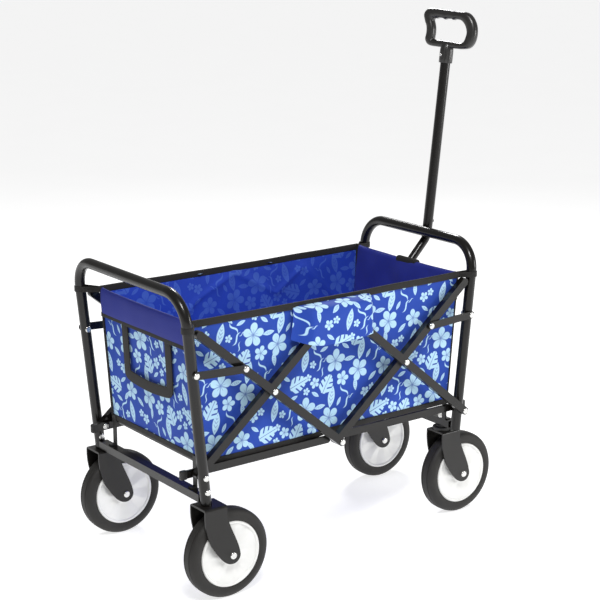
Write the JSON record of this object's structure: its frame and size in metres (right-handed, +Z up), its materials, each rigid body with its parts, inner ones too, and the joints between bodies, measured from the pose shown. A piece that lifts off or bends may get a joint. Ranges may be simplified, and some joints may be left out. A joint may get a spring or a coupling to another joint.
{
  "type": "folding beach cart",
  "caption": "Folding beach cart with a fabric tub in a black steel scissor frame, fixed rear wheels, swivelling front wheels and a telescopic pull handle.",
  "frame": {"origin": "on the ground, under the middle of the whole cart (49 mm ahead of the tub's)", "axes": "+X towards the pull handle, +Y to the far side, +Z up"},
  "size_m": [0.872, 0.471, 1.105],
  "materials": {
    "black_steel": "satin black powder coat",
    "bright_rivet": "bright zinc-plated",
    "stamped_fork": "gloss black enamel",
    "handle_steel": "gloss black",
    "black_plastic": "moulded, light gloss",
    "white_hub": "moulded white",
    "black_tyre": "smooth rounded tread",
    "floral_fabric": "printed polyester canvas",
    "blue_lining": "plain coated polyester",
    "black_webbing": "woven edge binding"
  },
  "bodies": {
    "rear_frame": {"rear_bow": "black_steel", "rear_cross_member": "black_steel", "rear_floor_rail": "black_steel", "rear_floor_brackets": "black_plastic", "rear_pivot_rivets": "bright_rivet", "rear_forks": "stamped_fork", "rear_axles": "bright_rivet", "side_panel_near": "floral_fabric", "side_panel_far": "floral_fabric", "rear_panel": "floral_fabric", "floor_panel": "blue_lining", "base_pad": "blue_lining", "joint_flap_near": "floral_fabric", "joint_flap_far": "floral_fabric", "rim_binding": "black_webbing", "rear_strap": "black_webbing"},
    "front_frame": {"front_bow": "black_steel", "front_cross_member": "black_steel", "front_floor_rail": "black_steel", "front_floor_brackets": "black_plastic", "front_pivot_rivets": "bright_rivet", "handle_pivot_pin": "bright_rivet", "caster_bearings": "black_plastic", "caster_kingpins": "bright_rivet", "front_panel": "blue_lining", "front_rim_binding": "black_webbing"},
    "caster_near": {"caster_fork_near": "stamped_fork", "caster_axle_near": "bright_rivet"},
    "rear_wheel_near": {"rear_tyre_near": "black_tyre", "rear_hub_near": "white_hub"},
    "front_wheel_near": {"front_tyre_near": "black_tyre", "front_hub_near": "white_hub"},
    "rear_low_bar_near": {"rear_low_bar_near": "black_steel", "rear_low_bar_rivets_near": "bright_rivet"},
    "rear_high_bar_near": {"rear_high_bar_near": "black_steel"},
    "front_low_bar_near": {"front_low_bar_near": "black_steel"},
    "front_high_bar_near": {"front_high_bar_near": "black_steel", "front_high_bar_rivets_near": "bright_rivet"},
    "rear_link_near": {"rear_link_near": "black_steel"},
    "front_link_near": {"front_link_near": "black_steel"},
    "caster_far": {"caster_fork_far": "stamped_fork", "caster_axle_far": "bright_rivet"},
    "rear_wheel_far": {"rear_tyre_far": "black_tyre", "rear_hub_far": "white_hub"},
    "front_wheel_far": {"front_tyre_far": "black_tyre", "front_hub_far": "white_hub"},
    "rear_low_bar_far": {"rear_low_bar_far": "black_steel", "rear_low_bar_rivets_far": "bright_rivet"},
    "rear_high_bar_far": {"rear_high_bar_far": "black_steel"},
    "front_low_bar_far": {"front_low_bar_far": "black_steel"},
    "front_high_bar_far": {"front_high_bar_far": "black_steel", "front_high_bar_rivets_far": "bright_rivet"},
    "rear_link_far": {"rear_link_far": "black_steel"},
    "front_link_far": {"front_link_far": "black_steel"},
    "rear_bottom_rails": {"rear_bottom_rails": "black_steel"},
    "front_bottom_rails": {"front_bottom_rails": "black_steel"},
    "handle_lower": {"handle_lower_tube": "handle_steel"},
    "handle_upper": {"handle_upper_tube": "handle_steel", "handle_grip": "black_plastic"},
    "handle_button": {"handle_button": "black_plastic"}
  },
  "joints": [
    {"name": "fold", "type": "hinge", "parent": "rear_frame", "child": "rear_low_bar_near", "pos_m": [-0.3889, -0.186, 0.259], "axis": [0, -1, 0], "range_deg": [0, 38.5], "deforming": ["side_panel_near", "side_panel_far", "floor_panel", "base_pad", "joint_flap_near", "joint_flap_far", "rim_binding"]},
    {"name": "rear_cross_near", "type": "hinge", "parent": "rear_low_bar_near", "child": "rear_high_bar_near", "pos_m": [-0.21895, -0.19375, 0.4], "axis": [0, -1, 0], "range_deg": [-77, 0]},
    {"name": "top_joint_near", "type": "hinge", "parent": "rear_low_bar_near", "child": "front_low_bar_near", "pos_m": [-0.049, -0.19375, 0.541], "axis": [0, -1, 0], "range_deg": [-77, 0]},
    {"name": "bottom_joint_near", "type": "hinge", "parent": "rear_high_bar_near", "child": "front_high_bar_near", "pos_m": [-0.049, -0.19375, 0.259], "axis": [0, -1, 0], "range_deg": [0, 77]},
    {"name": "front_low_pivot", "type": "hinge", "parent": "front_low_bar_near", "child": "front_frame", "pos_m": [0.2909, -0.2015, 0.259], "axis": [0, -1, 0], "range_deg": [0, 38.5]},
    {"name": "rear_link_near", "type": "hinge", "parent": "rear_frame", "child": "rear_link_near", "pos_m": [-0.41, -0.2185, 0.47], "axis": [0, -1, 0], "range_deg": [0, 69.1]},
    {"name": "front_link_near", "type": "hinge", "parent": "front_frame", "child": "front_link_near", "pos_m": [0.312, -0.196, 0.47], "axis": [0, -1, 0], "range_deg": [-69.1, 0]},
    {"name": "fold_far", "type": "hinge", "parent": "rear_frame", "child": "rear_low_bar_far", "pos_m": [-0.3889, 0.186, 0.259], "axis": [0, -1, 0], "range_deg": [0, 38.5]},
    {"name": "rear_cross_far", "type": "hinge", "parent": "rear_low_bar_far", "child": "rear_high_bar_far", "pos_m": [-0.21895, 0.19375, 0.4], "axis": [0, -1, 0], "range_deg": [-77, 0]},
    {"name": "top_joint_far", "type": "hinge", "parent": "rear_low_bar_far", "child": "front_low_bar_far", "pos_m": [-0.049, 0.19375, 0.541], "axis": [0, -1, 0], "range_deg": [-77, 0]},
    {"name": "bottom_joint_far", "type": "hinge", "parent": "rear_high_bar_far", "child": "front_high_bar_far", "pos_m": [-0.049, 0.19375, 0.259], "axis": [0, -1, 0], "range_deg": [0, 77]},
    {"name": "rear_link_far", "type": "hinge", "parent": "rear_frame", "child": "rear_link_far", "pos_m": [-0.41, 0.2185, 0.47], "axis": [0, -1, 0], "range_deg": [0, 69.1]},
    {"name": "front_link_far", "type": "hinge", "parent": "front_frame", "child": "front_link_far", "pos_m": [0.312, 0.196, 0.47], "axis": [0, -1, 0], "range_deg": [-69.1, 0]},
    {"name": "rear_bottom_rail", "type": "hinge", "parent": "rear_frame", "child": "rear_bottom_rails", "pos_m": [-0.3889, 0, 0.259], "axis": [0, -1, 0], "range_deg": [0, 74.57]},
    {"name": "front_bottom_rail", "type": "hinge", "parent": "front_frame", "child": "front_bottom_rails", "pos_m": [0.2909, 0, 0.259], "axis": [0, -1, 0], "range_deg": [-74.57, 0]},
    {"name": "caster_swivel_near", "type": "hinge", "parent": "front_frame", "child": "caster_near", "pos_m": [0.2862, -0.1385, 0.2], "axis": [0, 0, 1], "continuous": true},
    {"name": "front_wheel_spin_near", "type": "hinge", "parent": "caster_near", "child": "front_wheel_near", "pos_m": [0.3302, -0.1385, 0.092], "axis": [0, 1, 0], "continuous": true},
    {"name": "rear_wheel_spin_near", "type": "hinge", "parent": "rear_frame", "child": "rear_wheel_near", "pos_m": [-0.339, -0.205, 0.092], "axis": [0, 1, 0], "continuous": true},
    {"name": "caster_swivel_far", "type": "hinge", "parent": "front_frame", "child": "caster_far", "pos_m": [0.2862, 0.1385, 0.2], "axis": [0, 0, 1], "continuous": true},
    {"name": "front_wheel_spin_far", "type": "hinge", "parent": "caster_far", "child": "front_wheel_far", "pos_m": [0.3302, 0.1385, 0.092], "axis": [0, 1, 0], "continuous": true},
    {"name": "rear_wheel_spin_far", "type": "hinge", "parent": "rear_frame", "child": "rear_wheel_far", "pos_m": [-0.339, 0.205, 0.092], "axis": [0, 1, 0], "continuous": true},
    {"name": "handle_swing", "type": "hinge", "parent": "front_frame", "child": "handle_lower", "pos_m": [0.315, 0, 0.222], "axis": [0, 1, 0], "range_deg": [0, 90]},
    {"name": "handle_extend", "type": "slide", "parent": "handle_lower", "child": "handle_upper", "axis": [0.1167, 0, 0.9932], "range_m": [0, 0.28]},
    {"name": "button_press", "type": "slide", "parent": "handle_upper", "child": "handle_button", "axis": [-0.9932, 0, 0.1167], "range_m": [0, 0.003], "stiffness_N_per_m": 800}
  ],
  "couplings": [
    {"joint": "rear_cross_near", "follows": "fold", "ratio": -2},
    {"joint": "top_joint_near", "follows": "fold", "ratio": -2},
    {"joint": "bottom_joint_near", "follows": "fold", "ratio": 2},
    {"joint": "front_low_pivot", "follows": "fold", "ratio": 1},
    {"joint": "rear_link_near", "follows": "fold", "ratio": 1.7947},
    {"joint": "front_link_near", "follows": "fold", "ratio": -1.7947},
    {"joint": "fold_far", "follows": "fold", "ratio": 1},
    {"joint": "rear_cross_far", "follows": "fold", "ratio": -2},
    {"joint": "top_joint_far", "follows": "fold", "ratio": -2},
    {"joint": "bottom_joint_far", "follows": "fold", "ratio": 2},
    {"joint": "rear_link_far", "follows": "fold", "ratio": 1.7947},
    {"joint": "front_link_far", "follows": "fold", "ratio": -1.7947},
    {"joint": "rear_bottom_rail", "follows": "fold", "ratio": 1.9368},
    {"joint": "front_bottom_rail", "follows": "fold", "ratio": -1.9368}
  ]
}
